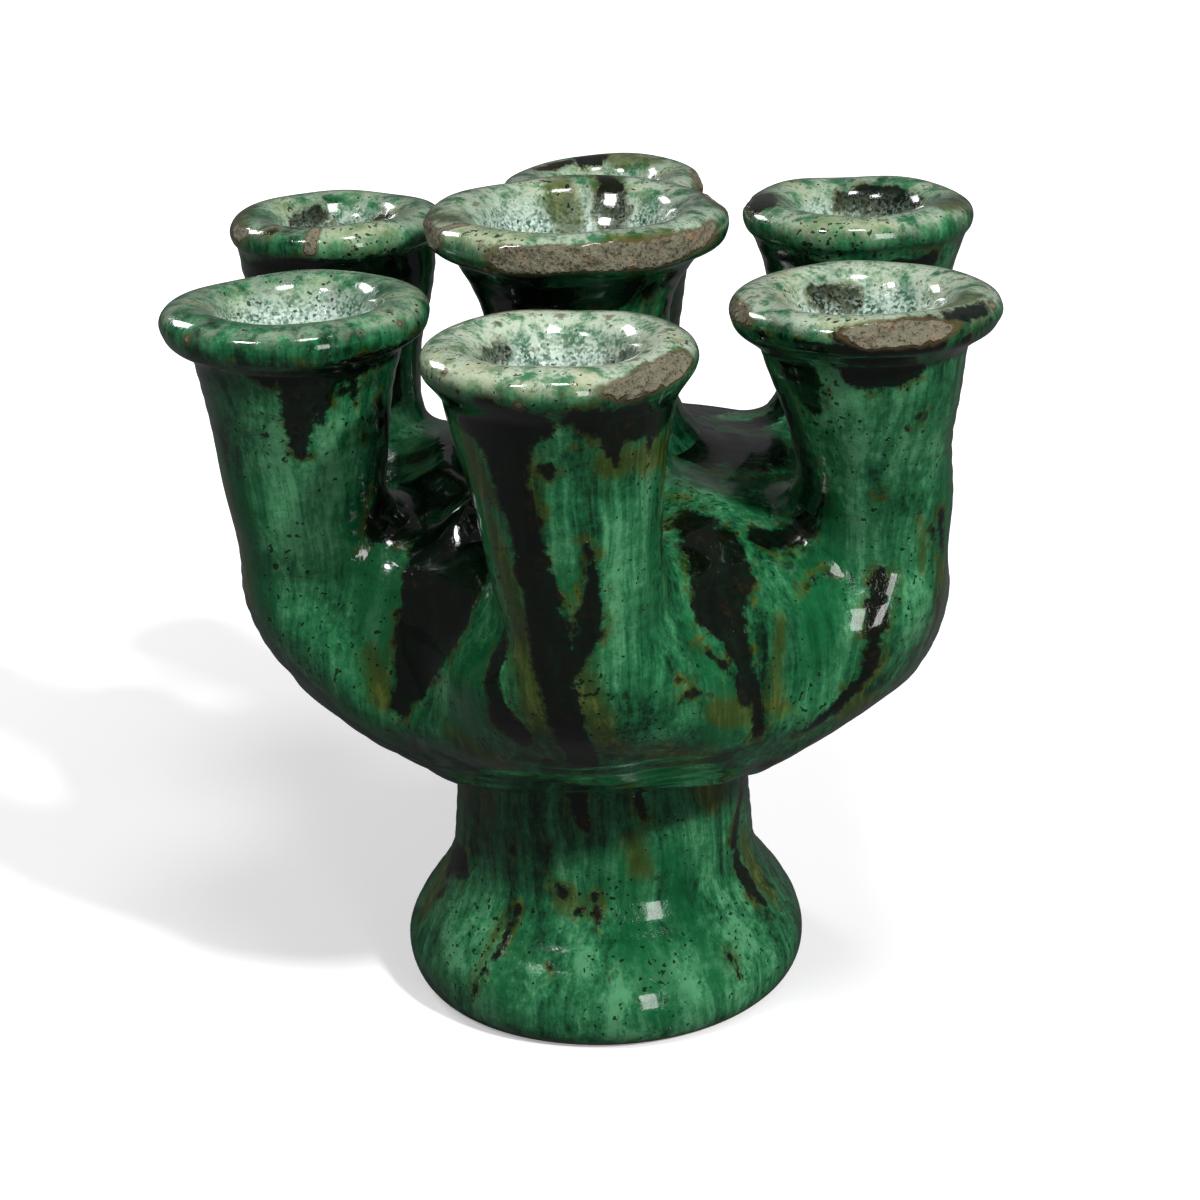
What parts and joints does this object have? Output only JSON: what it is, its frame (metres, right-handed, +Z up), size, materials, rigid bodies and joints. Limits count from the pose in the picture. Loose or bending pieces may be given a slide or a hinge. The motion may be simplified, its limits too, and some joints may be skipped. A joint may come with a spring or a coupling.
{
  "type": "multi-spout vase",
  "caption": "Hand-thrown footed vase with a ring of outer spouts round a wider, taller centre spout, all opening into one round closed body, under a running dark-green glaze.",
  "frame": {"origin": "on the floor, in the middle of the foot, which is within 1.3 mm of the middle of the whole outline", "axes": "+Z up through the foot and the body, +X to the right of the vase as pictured and +Y away from the viewer, so that the front spout stands at -Y"},
  "size_m": [0.1936, 0.2134, 0.2048],
  "materials": {
    "spout_glaze": "gloss",
    "body_glaze": "gloss",
    "foot_glaze": "gloss"
  },
  "bodies": {
    "root": {"foot": "foot_glaze", "bowl": "body_glaze", "shoulder": "body_glaze", "centre_spout": "spout_glaze", "spout_front": "spout_glaze", "spout_front_right": "spout_glaze", "spout_back_right": "spout_glaze", "spout_back": "spout_glaze", "spout_back_left": "spout_glaze", "spout_front_left": "spout_glaze"}
  },
  "joints": []
}
